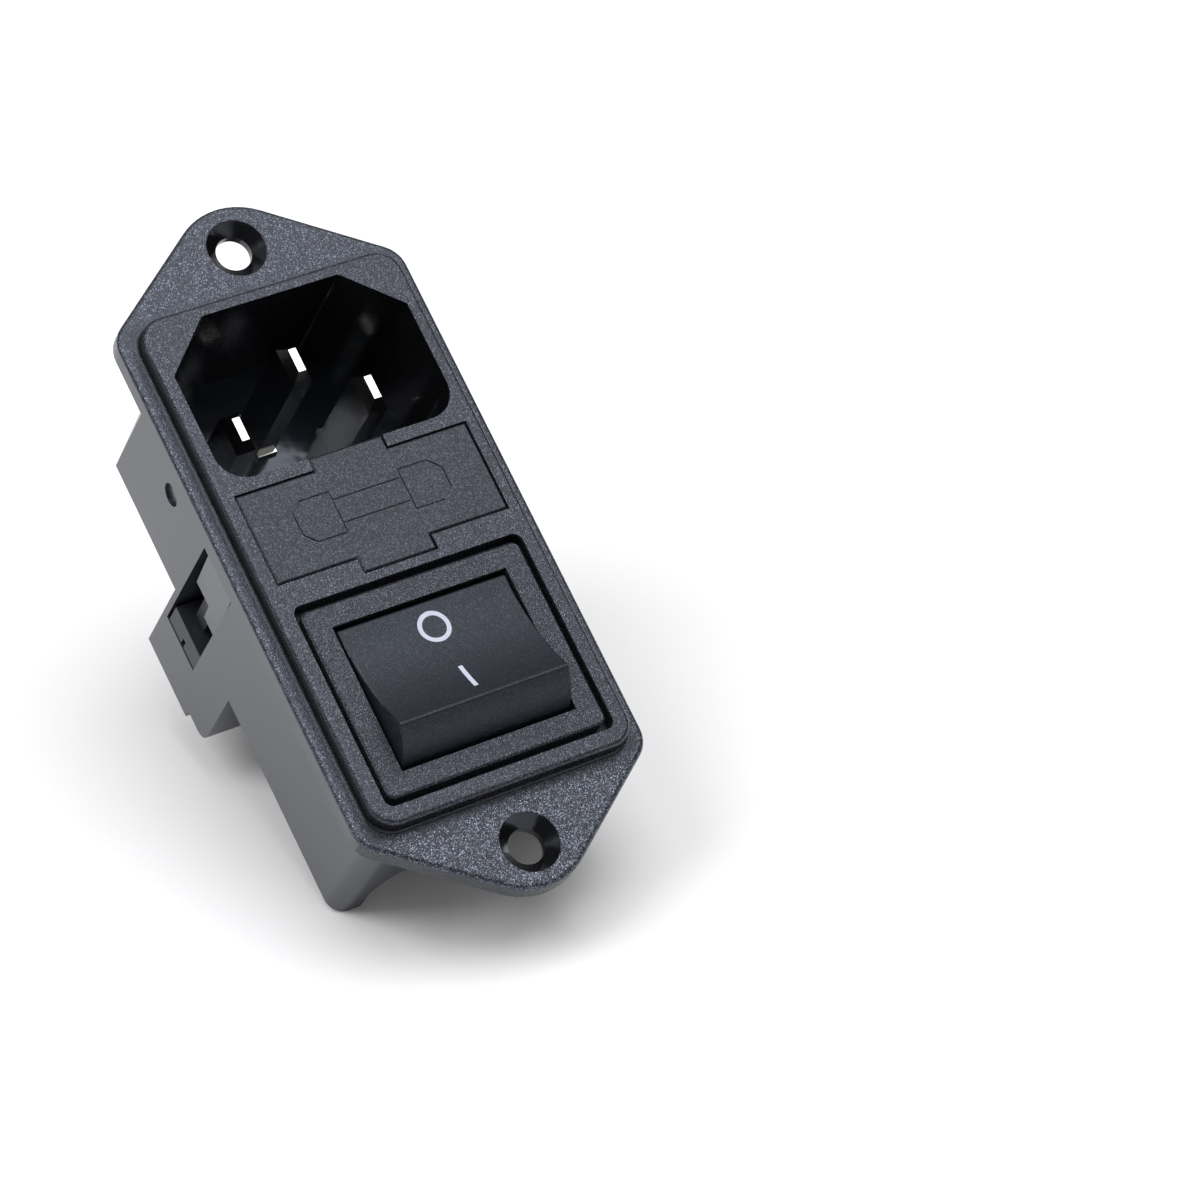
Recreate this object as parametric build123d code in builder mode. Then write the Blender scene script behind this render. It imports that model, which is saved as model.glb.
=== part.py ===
from build123d import *
from math import cos, radians, sin, sqrt, tan
import os

os.makedirs("parts", exist_ok=True)

# Panel inlet with connector, fuse drawer and rocker switch. Sizes in millimetres and degrees.
# The origin is the centre of the flange's rear face, which is the panel's face.
# +Z points out of the front, +Y towards the connector end.

# Flange with a screw ear at each end
flange_overhang = 1.7
flange_thickness = 2.0
flange_shoulder_y = 26.75
flange_shoulder_r = 3.0
ear_angle = 36.1
ear_tip_r = 6.9
flange_edge_r = 0.5
screw_spacing = 63.5
screw_hole_r = 1.75
screw_sink_r = 2.96
screw_sink_angle = 90

# Raised bezel on the flange
bezel_overhang = 0.1
bezel_half_length = 26.6
bezel_corner_r = 2.5
bezel_height = 2.0
bezel_top_r = 0.45
bezel_root_r = 0.4
edge_tolerance = 0.04

# Connector cavity
cavity_y = 17.2
cavity_half_width = 12.3
cavity_half_height = 8.25
cavity_top_half_width = 7.2
cavity_slope_y = 20.6
cavity_corner_r = 3.0
cavity_top_corner_r = 0.8
cavity_depth = 17.0
cavity_floor = 2.0
wall = 1.2

# Contact pins
pin_width = 2.0
pin_depth = 4.0
pin_tip_flat = 0.75
pin_tip_height = 1.2
pin_tip_inset = 0.8
pin_shoulder = 0.5
pin_shoulder_height = 0.55
pin_shoulder_r = 0.2
pin_seat = 0.02
pin_spread = 7.0
line_pin_y = 15.1
earth_pin_y = 18.9
line_pin_top_z = 0.3
earth_pin_top_z = 3.0
pin_clearance = 0.02

# Flat rear tabs
tab_width = 4.8
tab_thickness = 0.8
tab_hole_r = 0.8
tab_tip_bevel = 1.1
tab_hole_inset = 2.6
pin_tab_length = 8.5

# Skirt round the back of the switch
skirt_depth = 15.0
skirt_end_y = -27.5
skirt_corner_r = 1.75
arch_half_width = 10.5
arch_top_z = -8.2
arch_corner_r = 4.2

# Fuse block behind the drawer
block_top_y = 7.5
block_bottom_y = -4.55
block_back_z = -25.2
block_corner_r = 1.5
collar_bottom_y = -1.1
collar_length = 1.2
shaft_top_y = 6.5
shaft_bottom_y = -0.95
core_slot_top_y = -2.1
core_slot_bottom_y = -3.4
core_slot_half_width = 11.6
core_slot_depth = 21.0

# Window in each side of the fuse block, with a sprung tongue in it
window_bottom_y = 0.9
window_top_y = 6.8
window_front_z = -4.3
window_back_z = -19.75
tongue_gap = 0.1
tongue_top_y = 5.97
tongue_step_y = 3.3
tongue_long_z = -12.9
tongue_short_z = -10.4
tongue_lean = 0.55
tongue_bump = 0.55
tongue_bump_y = 2.1
tongue_bump_r = 0.6

# Shallow gate mark on each side wall
gate_mark_y = 13.34
gate_mark_z = -6.0
gate_mark_r = 1.17
gate_mark_depth = 0.35

# Fuse drawer
drawer_half_width = 12.13
drawer_bottom_y = -1.67
drawer_top_y = 7.61
drawer_lip_half_width = 3.83
drawer_lip_top_y = 8.95
drawer_tab_half_width = 3.81
drawer_tab_bottom_y = -3.2
drawer_gap = 0.11
drawer_seat = 0.03
drawer_slide_clearance = 0.1
drawer_wall = 1.2
neck_depth = 11.5
saddle_gap = 0.4
saddle_grip = 1.4
fuse_end_play = 0.5
rail_end_z = -16.4
rail_top_y = 4.9
rail_groove_lead = 1.8
rail_groove_depth = 0.35
rail_groove_half_width = 1.0
drawer_edge_r = 0.2

# Fuse lying across the drawer
fuse_y = 2.8
fuse_z = -13.5
fuse_length = 20.0
fuse_cap_r = 2.6
fuse_cap_length = 5.0
fuse_cap_wall = 0.28
fuse_glass_r = 2.3
fuse_glass_wall = 0.55
fuse_wire_r = 0.15
fuse_fit = 0.02
saddle_play = 0.12

# Clips that hold the fuse caps, and the insert that carries them
clip_inset = 2.4
clip_width = 3.6
clip_thickness = 0.4
clip_play = 0.05
clip_rise = 1.6
clip_mouth = 0.5
clip_base_gap = 0.25
clip_tab_tip_z = -33.5
carrier_clearance = 0.08
carrier_thickness = 8.2
carrier_snap_back_z = -19.65
carrier_snap_inset = 0.05
carrier_mark = 0.5
carrier_rib = 1.1

# Strip from the line pin to the left clip
link_thickness = 0.6
link_width = 3.4
link_end = 2.2
link_slot_clearance = 0.1
rivet_r = 1.0
rivet_height = 0.5

# Recess in the bezel and the rocker switch that snaps into it
recess_half_width = 12.0
recess_top_y = -4.2
recess_bottom_y = -24.9
recess_depth = 2.15
recess_corner_r = 0.9
switch_y = -14.6
switch_bezel_half_width = 11.45
switch_bezel_top_y = -4.9
switch_bezel_bottom_y = -24.2
switch_bezel_r = 0.8
switch_opening_half_width = 9.15
switch_opening_half_length = 7.48
switch_body_half_width = 10.7
switch_body_half_length = 9.1
switch_body_inner_half_length = 7.85
switch_body_clearance = 0.1
switch_seat = 0.03
snap_half_width = 4.0
snap_catch = 0.7
snap_length = 3.4
snap_slot = 0.6
snap_clearance = 0.08

# Rocker and its throw
pivot_z = 1.4
rocker_throw = 35.0
rocker_half_width = 8.85
rocker_end_r = 7.38
rocker_ridge_y = 5.86
rocker_ridge_z = 4.5
rocker_dip_z = 3.45
rocker_ridge_r = 0.35
rocker_edge_r = 0.2
rocker_bottom_z = -3.2
rocker_wall = 1.2
trunnion_r = 1.2
trunnion_length = 1.35
trunnion_clearance = 0.05

# Spring and plunger of each pole, inside a boss of the rocker
pole_x = 4.75
boss_r = 1.75
boss_reach = 4.6
plunger_r = 0.95
plunger_reach = 7.0
plunger_head = 3.6
plunger_tip_flat = 0.05
plunger_play = 0.05
plunger_clearance = 0.08
spring_wire_r = 0.14
spring_turns = 4
spring_end_gap = 0.05

# Contact bridge of each pole, which rocks on the common terminal
bridge_throw = 16.0
bridge_drop = 8.0
bridge_half_length = 6.0
bridge_width = 3.0
bridge_arm = 0.8
bridge_horn_y = 2.9
bridge_horn_flat = 0.5
bridge_seat_play = 0.05
contact_y = 5.0
contact_r = 1.1
contact_height = 0.35
contact_dome = 0.25
contact_play = 0.05

# Terminals and base of the switch
terminal_width = 4.8
common_top_width = 3.4
fixed_contact_r = 1.2
fixed_contact_height = 0.6
load_tab_y = 6.5
terminal_tip_z = -20.5
base_thickness = 2.0
base_clearance = 0.05
terminal_clearance = 0.02
divider_thickness = 0.8
divider_top_gap = 0.9
stop_length = 0.9

# Levels and spans that follow from the sizes above
front_z = flange_thickness + bezel_height
cavity_floor_z = front_z - cavity_depth
inlet_back_z = cavity_floor_z - cavity_floor
collar_back_z = block_back_z - collar_length
side_x = cavity_half_width + wall
flange_half_width = side_x + flange_overhang
bezel_half_width = side_x + bezel_overhang
shaft_half_width = side_x - wall
ledge_z = front_z - recess_depth
rail_inner_x = fuse_length / 2 + fuse_end_play
clip_x = fuse_length / 2 - clip_inset
saddle_half_width = fuse_length / 2 - fuse_cap_length - saddle_gap
half_throw = rocker_throw / 2
half_tilt = bridge_throw / 2
overcut = 1.0


# The outline of the connector cavity: square below, two slopes above
def inlet_outline():
    with BuildSketch(Plane.XY) as outline:
        with BuildLine():
            Polyline(
                (-cavity_half_width, cavity_y - cavity_half_height),
                (cavity_half_width, cavity_y - cavity_half_height),
                (cavity_half_width, cavity_slope_y),
                (cavity_top_half_width, cavity_y + cavity_half_height),
                (-cavity_top_half_width, cavity_y + cavity_half_height),
                (-cavity_half_width, cavity_slope_y),
                close=True,
            )
        make_face()
        fillet(outline.vertices().group_by(Axis.Y)[0], cavity_corner_r)
        fillet(outline.vertices().group_by(Axis.Y)[-1], cavity_top_corner_r)
    return outline.sketch


# The outline of the drawer's front, with its finger lips above and below
def drawer_outline(margin=0.0):
    middle_y = (drawer_top_y + drawer_bottom_y) / 2
    lip_y = (drawer_lip_top_y + drawer_tab_bottom_y) / 2
    with BuildSketch(Plane.XY) as outline:
        with Locations((0, middle_y)):
            Rectangle(2 * (drawer_half_width + margin), drawer_top_y - drawer_bottom_y + 2 * margin)
        with Locations((0, (middle_y + drawer_lip_top_y) / 2)):
            Rectangle(2 * (drawer_lip_half_width + margin), drawer_lip_top_y - middle_y)
        with Locations((0, (middle_y + drawer_tab_bottom_y) / 2 - margin / 2)):
            Rectangle(2 * (drawer_tab_half_width + margin), middle_y - drawer_tab_bottom_y + margin)
    return outline.sketch


# A rectangle given by its edges, on the plane of the sketch that is open
def span(low_u, high_u, low_v, high_v, mode=Mode.ADD):
    with Locations(((low_u + high_u) / 2, (low_v + high_v) / 2)):
        Rectangle(high_u - low_u, high_v - low_v, mode=mode)


# A plane across the object that looks along +X, turned about X by an angle
def side_plane(x, y, z, angle=0.0):
    turn = radians(angle)
    return Plane(origin=(x, y, z), x_dir=(0, cos(turn), sin(turn)), z_dir=(1, 0, 0))


# Housing: one moulding with flange, bezel, cavity, fuse block and skirt
ear_tip_y = flange_shoulder_y + flange_half_width * tan(radians(ear_angle))
with BuildPart() as housing:
    with BuildSketch(Plane.XY) as flange_outline:
        with BuildLine():
            Polyline(
                (flange_half_width, -flange_shoulder_y),
                (flange_half_width, flange_shoulder_y),
                (0, ear_tip_y),
                (-flange_half_width, flange_shoulder_y),
                (-flange_half_width, -flange_shoulder_y),
                (0, -ear_tip_y),
                close=True,
            )
        make_face()
        tips = flange_outline.vertices().group_by(Axis.Y)
        fillet(tips[0] + tips[-1], ear_tip_r)
        fillet(flange_outline.vertices().filter_by(
            lambda corner: abs(corner.X) > flange_half_width - edge_tolerance), flange_shoulder_r)
    extrude(amount=flange_thickness)
    fillet(housing.edges().group_by(Axis.Z)[-1], flange_edge_r)

    with BuildSketch(Plane.XY.offset(flange_thickness)):
        RectangleRounded(2 * bezel_half_width, 2 * bezel_half_length, bezel_corner_r)
    extrude(amount=bezel_height)
    rim = housing.edges(Select.LAST).group_by(Axis.Z)
    fillet(rim[-1], bezel_top_r)
    fillet(housing.edges().filter_by(
        lambda edge: abs(edge.center().Z - flange_thickness) < edge_tolerance
        and abs(edge.center().X) < bezel_half_width + edge_tolerance
        and abs(edge.center().Y) < bezel_half_length + edge_tolerance), bezel_root_r)

    # skirt down to its rim, and the connector down to the back of its floor
    with BuildSketch(Plane.XY) as skirt:
        span(-side_x, side_x, skirt_end_y, block_top_y)
        fillet(skirt.vertices().group_by(Axis.Y)[0], skirt_corner_r)
    extrude(amount=-skirt_depth)
    with BuildSketch(Plane.XY):
        span(-side_x, side_x, block_top_y, cavity_slope_y)
        offset(inlet_outline(), amount=wall, kind=Kind.INTERSECTION, mode=Mode.ADD)
    extrude(amount=inlet_back_z)

    # deep block behind the drawer, with its collar
    with BuildSketch(Plane.YZ) as block_side:
        span(block_bottom_y, block_top_y, block_back_z, 0)
        fillet(block_side.vertices().group_by(Axis.Y)[0].sort_by(Axis.X)[0], block_corner_r)
        span(collar_bottom_y, block_top_y, collar_back_z, block_back_z)
    extrude(amount=side_x, both=True)

    # connector cavity
    with BuildSketch(Plane.XY.offset(front_z)):
        add(inlet_outline())
    extrude(amount=-cavity_depth, mode=Mode.SUBTRACT)

    # slots in the cavity's floor for the three pins
    with BuildSketch(Plane.XY.offset(cavity_floor_z)):
        with Locations((-pin_spread, line_pin_y), (pin_spread, line_pin_y), (0, earth_pin_y)):
            Rectangle(pin_width + 2 * pin_clearance, pin_depth + 2 * pin_clearance)
    extrude(amount=-cavity_floor, mode=Mode.SUBTRACT)

    # drawer's seat in the bezel, and the shaft behind it
    with BuildSketch(Plane.XY.offset(flange_thickness)):
        add(drawer_outline(drawer_gap))
    extrude(amount=bezel_height, mode=Mode.SUBTRACT)
    with BuildSketch(Plane.XY.offset(flange_thickness)):
        span(-shaft_half_width, shaft_half_width, shaft_bottom_y, shaft_top_y)
    extrude(amount=collar_back_z - flange_thickness, mode=Mode.SUBTRACT)

    # cored slot between the shaft and the switch
    with BuildSketch(Plane.XY.offset(block_back_z)):
        span(-core_slot_half_width, core_slot_half_width, core_slot_bottom_y, core_slot_top_y)
    extrude(amount=core_slot_depth, mode=Mode.SUBTRACT)

    # slot that lets the line link into the shaft
    with BuildSketch(Plane.XZ.offset(-shaft_top_y + overcut)):
        with Locations((-clip_x, inlet_back_z - link_thickness / 2)):
            Rectangle(link_width + 2 * link_slot_clearance, link_thickness + 2 * link_slot_clearance)
    extrude(amount=-(block_top_y - shaft_top_y + 2 * overcut), mode=Mode.SUBTRACT)

    # recess for the switch's bezel, the opening in its ledge, and the open skirt
    with BuildSketch(Plane.XY.offset(ledge_z)) as recess:
        span(-recess_half_width, recess_half_width, recess_bottom_y, recess_top_y)
        fillet(recess.vertices(), recess_corner_r)
    extrude(amount=recess_depth, mode=Mode.SUBTRACT)
    with BuildSketch(Plane.XY.offset(ledge_z)):
        with Locations((0, switch_y)):
            Rectangle(
                2 * (switch_body_half_width + switch_body_clearance),
                2 * (switch_body_half_length + switch_body_clearance),
            )
    extrude(amount=-ledge_z, mode=Mode.SUBTRACT)
    with BuildSketch(Plane.XY):
        span(-shaft_half_width, shaft_half_width, skirt_end_y + wall, block_bottom_y)
    extrude(amount=-skirt_depth, mode=Mode.SUBTRACT)

    # arch in the skirt's end wall
    with BuildSketch(Plane.XZ.offset(-skirt_end_y - wall)) as arch:
        span(-arch_half_width, arch_half_width, -skirt_depth, arch_top_z)
        fillet(arch.vertices().group_by(Axis.Y)[-1], arch_corner_r)
    extrude(amount=wall, mode=Mode.SUBTRACT)

    # windows, each left with its sprung tongue
    with BuildSketch(Plane.YZ):
        span(window_bottom_y, window_top_y, window_back_z, window_front_z)
        tongue_bottom_y = window_bottom_y + tongue_gap
        span(tongue_bottom_y, tongue_step_y, tongue_long_z, window_front_z, Mode.SUBTRACT)
        span(tongue_step_y, tongue_top_y, tongue_short_z, window_front_z, Mode.SUBTRACT)
    extrude(amount=side_x, both=True, mode=Mode.SUBTRACT)

    # the tongues lean inwards, so that their outer faces fall away from the wall
    with BuildSketch(Plane.XZ.offset(-tongue_top_y)):
        with BuildLine():
            Polyline(
                (side_x, window_front_z),
                (side_x + overcut, window_front_z),
                (side_x + overcut, tongue_long_z),
                (side_x - tongue_lean, tongue_long_z),
                close=True,
            )
        make_face()
        mirror(about=Plane.YZ)
    extrude(amount=tongue_top_y - tongue_bottom_y, mode=Mode.SUBTRACT)

    # round bump on the inner face of each tongue, which clicks into the drawer's rail
    for side in (-1, 1):
        with BuildSketch(Plane.XY.offset(tongue_long_z)):
            with Locations((side * shaft_half_width, tongue_bump_y)):
                Circle(tongue_bump_r)
            span(-shaft_half_width + tongue_bump, shaft_half_width - tongue_bump,
                 shaft_bottom_y, shaft_top_y, Mode.SUBTRACT)
        extrude(amount=2 * tongue_bump_r)

    # screw holes and gate marks
    with Locations((0, screw_spacing / 2, flange_thickness), (0, -screw_spacing / 2, flange_thickness)):
        CounterSinkHole(screw_hole_r, screw_sink_r, counter_sink_angle=screw_sink_angle)
    for side in (-1, 1):
        with BuildSketch(Plane.YZ.offset(side * side_x)):
            with Locations((gate_mark_y, gate_mark_z)):
                Circle(gate_mark_r)
        extrude(amount=-side * gate_mark_depth, mode=Mode.SUBTRACT)
housing.part.label = "housing"
export_step(housing.part, "parts/housing.step")


# A flat rear tab with a bevelled tip and a hole, hanging from the plane of its root
def flat_tab(plane, length, width=tab_width):
    with BuildPart() as tab:
        with BuildSketch(plane) as face:
            span(-width / 2, width / 2, -length, 0)
            chamfer(face.vertices().group_by(Axis.Y)[0], tab_tip_bevel)
            with Locations((0, tab_hole_inset - length)):
                Circle(tab_hole_r, mode=Mode.SUBTRACT)
        extrude(amount=tab_thickness / 2, both=True)
    return tab.part


# A contact pin: flat blade with a bevelled tip, a shoulder on the cavity's floor and its root in it
def pin_blade(x, y, top_z):
    with BuildPart() as blade:
        with BuildSketch(side_plane(x, y, cavity_floor_z + pin_seat)) as shoulder:
            span(-pin_depth / 2 - pin_shoulder, pin_depth / 2 + pin_shoulder, 0, pin_shoulder_height)
            fillet(shoulder.vertices().group_by(Axis.Y)[-1], pin_shoulder_r)
        extrude(amount=pin_width / 2, both=True)
        with BuildSketch(Plane.XY.offset(inlet_back_z)):
            with Locations((x, y)):
                Rectangle(pin_width, pin_depth)
        extrude(amount=top_z - pin_tip_height - inlet_back_z)
        with BuildSketch(Plane.XY.offset(top_z - pin_tip_height)):
            with Locations((x, y)):
                Rectangle(pin_width, pin_depth)
        with BuildSketch(Plane.XY.offset(top_z)):
            with Locations((x, y)):
                Rectangle(pin_tip_flat, pin_depth - 2 * pin_tip_inset)
        loft()
    return blade.part


with BuildPart() as pin_neutral:
    add(pin_blade(pin_spread, line_pin_y, line_pin_top_z))
    add(flat_tab(side_plane(pin_spread, line_pin_y, inlet_back_z), pin_tab_length))
pin_neutral.part.label = "pin_neutral"
export_step(pin_neutral.part, "parts/pin_neutral.step")

with BuildPart() as pin_earth:
    add(pin_blade(0, earth_pin_y, earth_pin_top_z))
    add(flat_tab(side_plane(0, earth_pin_y, inlet_back_z), pin_tab_length))
pin_earth.part.label = "pin_earth"
export_step(pin_earth.part, "parts/pin_earth.step")

# the line pin ends in a rivet that holds the link strip
with BuildPart() as pin_line:
    add(pin_blade(-pin_spread, line_pin_y, line_pin_top_z))
    with BuildSketch(Plane.XY.offset(inlet_back_z)):
        with Locations((-pin_spread, line_pin_y)):
            Circle(rivet_r)
    extrude(amount=-link_thickness - rivet_height)
pin_line.part.label = "pin_line"
export_step(pin_line.part, "parts/pin_line.step")

# Link strip: from the rivet through the block's wall to the left clip's upper arm
clip_arm_y = fuse_y + fuse_cap_r + clip_play + clip_thickness
with BuildPart() as line_link:
    with BuildSketch(Plane.XY.offset(inlet_back_z)):
        span(-clip_x - link_width / 2, -clip_x + link_width / 2, clip_arm_y, line_pin_y + link_end)
        with Locations((-pin_spread, line_pin_y)):
            Rectangle(link_width, 2 * link_end)
        with Locations((-pin_spread, line_pin_y)):
            Circle(rivet_r + pin_clearance, mode=Mode.SUBTRACT)
    extrude(amount=-link_thickness)
line_link.part.label = "line_link"
export_step(line_link.part, "parts/line_link.step")

# Fuse clips: a sprung fork on each cap, with a rear tab
clip_base_z = fuse_z - fuse_cap_r - clip_base_gap
for side, name in ((-1, "fuse_clip_left"), (1, "fuse_clip_right")):
    with BuildPart() as fuse_clip:
        with BuildSketch(side_plane(side * clip_x, fuse_y, 0)):
            inner = fuse_cap_r + clip_play
            outer = inner + clip_thickness
            span(-outer, outer, clip_base_z - clip_thickness, fuse_z + clip_rise)
            span(-inner, inner, clip_base_z, fuse_z + clip_rise, Mode.SUBTRACT)
        extrude(amount=clip_width / 2, both=True)
        mouth = fuse_clip.edges().filter_by(Axis.X).group_by(Axis.Z)[-1].sort_by(Axis.Y)
        chamfer(mouth[1:3], clip_thickness * clip_mouth)
        add(flat_tab(
            Plane(origin=(side * clip_x, fuse_y, clip_base_z - clip_thickness),
                  x_dir=(1, 0, 0), z_dir=(0, -1, 0)),
            clip_base_z - clip_thickness - clip_tab_tip_z))
    fuse_clip.part.label = name
    export_step(fuse_clip.part, f"parts/{name}.step")

# Terminal carrier: insert that closes the shaft, snapped into both windows
carrier_top_z = clip_base_z - clip_thickness - clip_play
carrier_half_width = shaft_half_width - carrier_clearance
with BuildPart() as terminal_carrier:
    with BuildSketch(Plane.XY.offset(carrier_top_z)):
        span(-carrier_half_width, carrier_half_width,
             shaft_bottom_y + carrier_clearance, shaft_top_y - carrier_clearance)
    extrude(amount=-carrier_thickness)
    with BuildSketch(Plane.YZ):
        span(window_bottom_y + carrier_clearance, shaft_top_y - carrier_clearance,
             carrier_snap_back_z + carrier_clearance, carrier_top_z)
    extrude(amount=side_x - carrier_snap_inset, both=True)
    # small notch in the outer face of each snap tab
    for side in (-1, 1):
        with BuildSketch(Plane.YZ.offset(side * side_x)):
            span(tongue_step_y, tongue_step_y + carrier_mark,
                 carrier_snap_back_z, carrier_snap_back_z + carrier_rib)
        extrude(amount=-side * carrier_mark, mode=Mode.SUBTRACT)
    with BuildSketch(Plane.XY.offset(carrier_top_z)):
        with Locations((-clip_x, fuse_y), (clip_x, fuse_y)):
            Rectangle(tab_width + 2 * clip_play, tab_thickness + 2 * clip_play)
    extrude(amount=-carrier_thickness - overcut, mode=Mode.SUBTRACT)
terminal_carrier.part.label = "terminal_carrier"
export_step(terminal_carrier.part, "parts/terminal_carrier.step")

# Fuse drawer: front plate with finger lips, hollow neck, guide rails and the fuse's saddle
drawer_body_half_width = shaft_half_width - drawer_slide_clearance
drawer_body_bottom_y = shaft_bottom_y + drawer_slide_clearance
drawer_body_top_y = shaft_top_y - drawer_slide_clearance
drawer_plate_back_z = flange_thickness + drawer_seat
neck_end_z = drawer_plate_back_z - neck_depth
with BuildPart() as fuse_drawer:
    with BuildSketch(Plane.XY.offset(drawer_plate_back_z)):
        add(drawer_outline())
    extrude(amount=front_z - drawer_plate_back_z)
    chamfer(fuse_drawer.edges().group_by(Axis.Z)[-1], drawer_edge_r)
    with BuildSketch(Plane.XY.offset(drawer_plate_back_z)):
        span(-drawer_body_half_width, drawer_body_half_width, drawer_body_bottom_y, drawer_body_top_y)
    extrude(amount=-neck_depth)
    # the neck is hollow and open above: it holds a spare fuse
    with BuildSketch(Plane.XZ.offset(-drawer_body_top_y)):
        span(-drawer_body_half_width + drawer_wall, drawer_body_half_width - drawer_wall,
             neck_end_z + drawer_wall, drawer_plate_back_z - drawer_wall)
    extrude(amount=drawer_body_top_y - drawer_body_bottom_y - drawer_wall, mode=Mode.SUBTRACT)
    # guide rails beside the fuse's ends
    for side in (-1, 1):
        with BuildSketch(Plane.XY.offset(neck_end_z)):
            low, high = sorted((side * rail_inner_x, side * drawer_body_half_width))
            span(low, high, drawer_body_bottom_y, rail_top_y)
        extrude(amount=rail_end_z - neck_end_z)
    # saddle that grips the fuse's glass
    with BuildSketch(Plane.YZ):
        span(drawer_body_bottom_y, drawer_body_top_y, fuse_z - saddle_grip, neck_end_z)
        with Locations((fuse_y, fuse_z)):
            Circle(fuse_glass_r + saddle_play, mode=Mode.SUBTRACT)
    extrude(amount=saddle_half_width, both=True)
    # groove in each rail for the housing's sprung bump
    for side in (-1, 1):
        with BuildSketch(Plane.XY.offset(tongue_long_z + rail_groove_lead)):
            with Locations((side * drawer_body_half_width, tongue_bump_y)):
                Rectangle(2 * (tongue_bump + rail_groove_depth), 2 * rail_groove_half_width)
        extrude(amount=rail_end_z - tongue_long_z - rail_groove_lead, mode=Mode.SUBTRACT)
fuse_drawer.part.label = "fuse_drawer"
export_step(fuse_drawer.part, "parts/fuse_drawer.step")

# Fuse: glass tube, two pressed caps and the wire between them
with BuildPart() as fuse_glass:
    with BuildSketch(side_plane(0, fuse_y, fuse_z)):
        Circle(fuse_glass_r)
        Circle(fuse_glass_r - fuse_glass_wall, mode=Mode.SUBTRACT)
    extrude(amount=fuse_length / 2 - fuse_cap_wall - fuse_fit, both=True)
fuse_glass.part.label = "fuse_glass"
export_step(fuse_glass.part, "parts/fuse_glass.step")

for side, name in ((-1, "fuse_cap_left"), (1, "fuse_cap_right")):
    with BuildPart() as fuse_cap:
        with BuildSketch(side_plane(side * fuse_length / 2, fuse_y, fuse_z)):
            Circle(fuse_cap_r)
        extrude(amount=-side * fuse_cap_length)
        fillet(fuse_cap.edges().group_by(Axis.X)[-1 if side > 0 else 0], fuse_cap_wall)
        with BuildSketch(side_plane(side * (fuse_length / 2 - fuse_cap_wall), fuse_y, fuse_z)):
            Circle(fuse_glass_r + fuse_fit)
        extrude(amount=-side * fuse_cap_length, mode=Mode.SUBTRACT)
    fuse_cap.part.label = name
    export_step(fuse_cap.part, f"parts/{name}.step")

with BuildPart() as fuse_wire:
    with BuildSketch(side_plane(0, fuse_y, fuse_z)):
        Circle(fuse_wire_r)
    extrude(amount=fuse_length / 2 - fuse_cap_wall, both=True)
fuse_wire.part.label = "fuse_wire"
export_step(fuse_wire.part, "parts/fuse_wire.step")

# Heights in the switch that follow from the bridge's throw
dome_r = (contact_r ** 2 + contact_dome ** 2) / (2 * contact_dome)
dome_centre = dome_r - contact_height - contact_dome
dome_low_z = pivot_z - bridge_drop - contact_y * sin(radians(half_tilt)) \
    + dome_centre * cos(radians(half_tilt)) - dome_r
fixed_contact_y = switch_y + contact_y * cos(radians(half_tilt)) + dome_centre * sin(radians(half_tilt))
fixed_contact_z = dome_low_z - contact_play
base_top_z = fixed_contact_z - fixed_contact_height - tab_thickness
base_bottom_z = base_top_z - base_thickness
edge_z = pivot_z - bridge_drop
stop_z = edge_z - bridge_half_length * sin(radians(half_tilt)) - contact_play
base_half_width = switch_opening_half_width - base_clearance
base_half_length = switch_body_inner_half_length - base_clearance

# Switch frame: bezel and body in one, with a sprung latch at each end
seat_z = ledge_z + switch_seat
with BuildPart() as switch_frame:
    with BuildSketch(Plane.XY.offset(seat_z)) as bezel_face:
        span(-switch_bezel_half_width, switch_bezel_half_width, switch_bezel_bottom_y, switch_bezel_top_y)
        fillet(bezel_face.vertices(), switch_bezel_r)
    extrude(amount=front_z - seat_z)
    chamfer(switch_frame.edges().group_by(Axis.Z)[-1], drawer_edge_r)
    with BuildSketch(Plane.XY.offset(seat_z)):
        with Locations((0, switch_y)):
            Rectangle(2 * switch_body_half_width, 2 * switch_body_half_length)
    extrude(amount=base_bottom_z - seat_z)
    # opening for the rocker, wider behind the bezel
    with BuildSketch(Plane.XY.offset(front_z)):
        with Locations((0, switch_y)):
            Rectangle(2 * switch_opening_half_width, 2 * switch_opening_half_length)
    extrude(amount=base_bottom_z - front_z, mode=Mode.SUBTRACT)
    with BuildSketch(Plane.XY.offset(-snap_clearance)):
        with Locations((0, switch_y)):
            Rectangle(2 * switch_opening_half_width, 2 * switch_body_inner_half_length)
    extrude(amount=base_bottom_z + snap_clearance, mode=Mode.SUBTRACT)
    # latches that catch below the housing's ledge, each freed by a slot on both sides
    with BuildSketch(side_plane(0, switch_y, 0)):
        for end in (-1, 1):
            with BuildLine():
                Polyline(
                    (end * (switch_body_half_length - base_clearance), -snap_clearance),
                    (end * (switch_body_half_length + snap_catch), -snap_clearance),
                    (end * (switch_body_half_length - base_clearance), -snap_clearance - snap_length),
                    close=True,
                )
            make_face()
    extrude(amount=snap_half_width, both=True)
    for side in (-1, 1):
        with BuildSketch(Plane.XZ.offset(-switch_y)):
            middle_x = side * (snap_half_width + snap_slot / 2)
            span(middle_x - snap_slot / 2, middle_x + snap_slot / 2, base_top_z, -snap_clearance)
        extrude(amount=switch_body_half_length + overcut, both=True, mode=Mode.SUBTRACT)
    # bearings of the rocker
    with BuildSketch(side_plane(0, switch_y, pivot_z)):
        Circle(trunnion_r + trunnion_clearance)
    extrude(amount=rocker_half_width + trunnion_length + snap_clearance, both=True, mode=Mode.SUBTRACT)
switch_frame.part.label = "switch_frame"
export_step(switch_frame.part, "parts/switch_frame.step")

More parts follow.
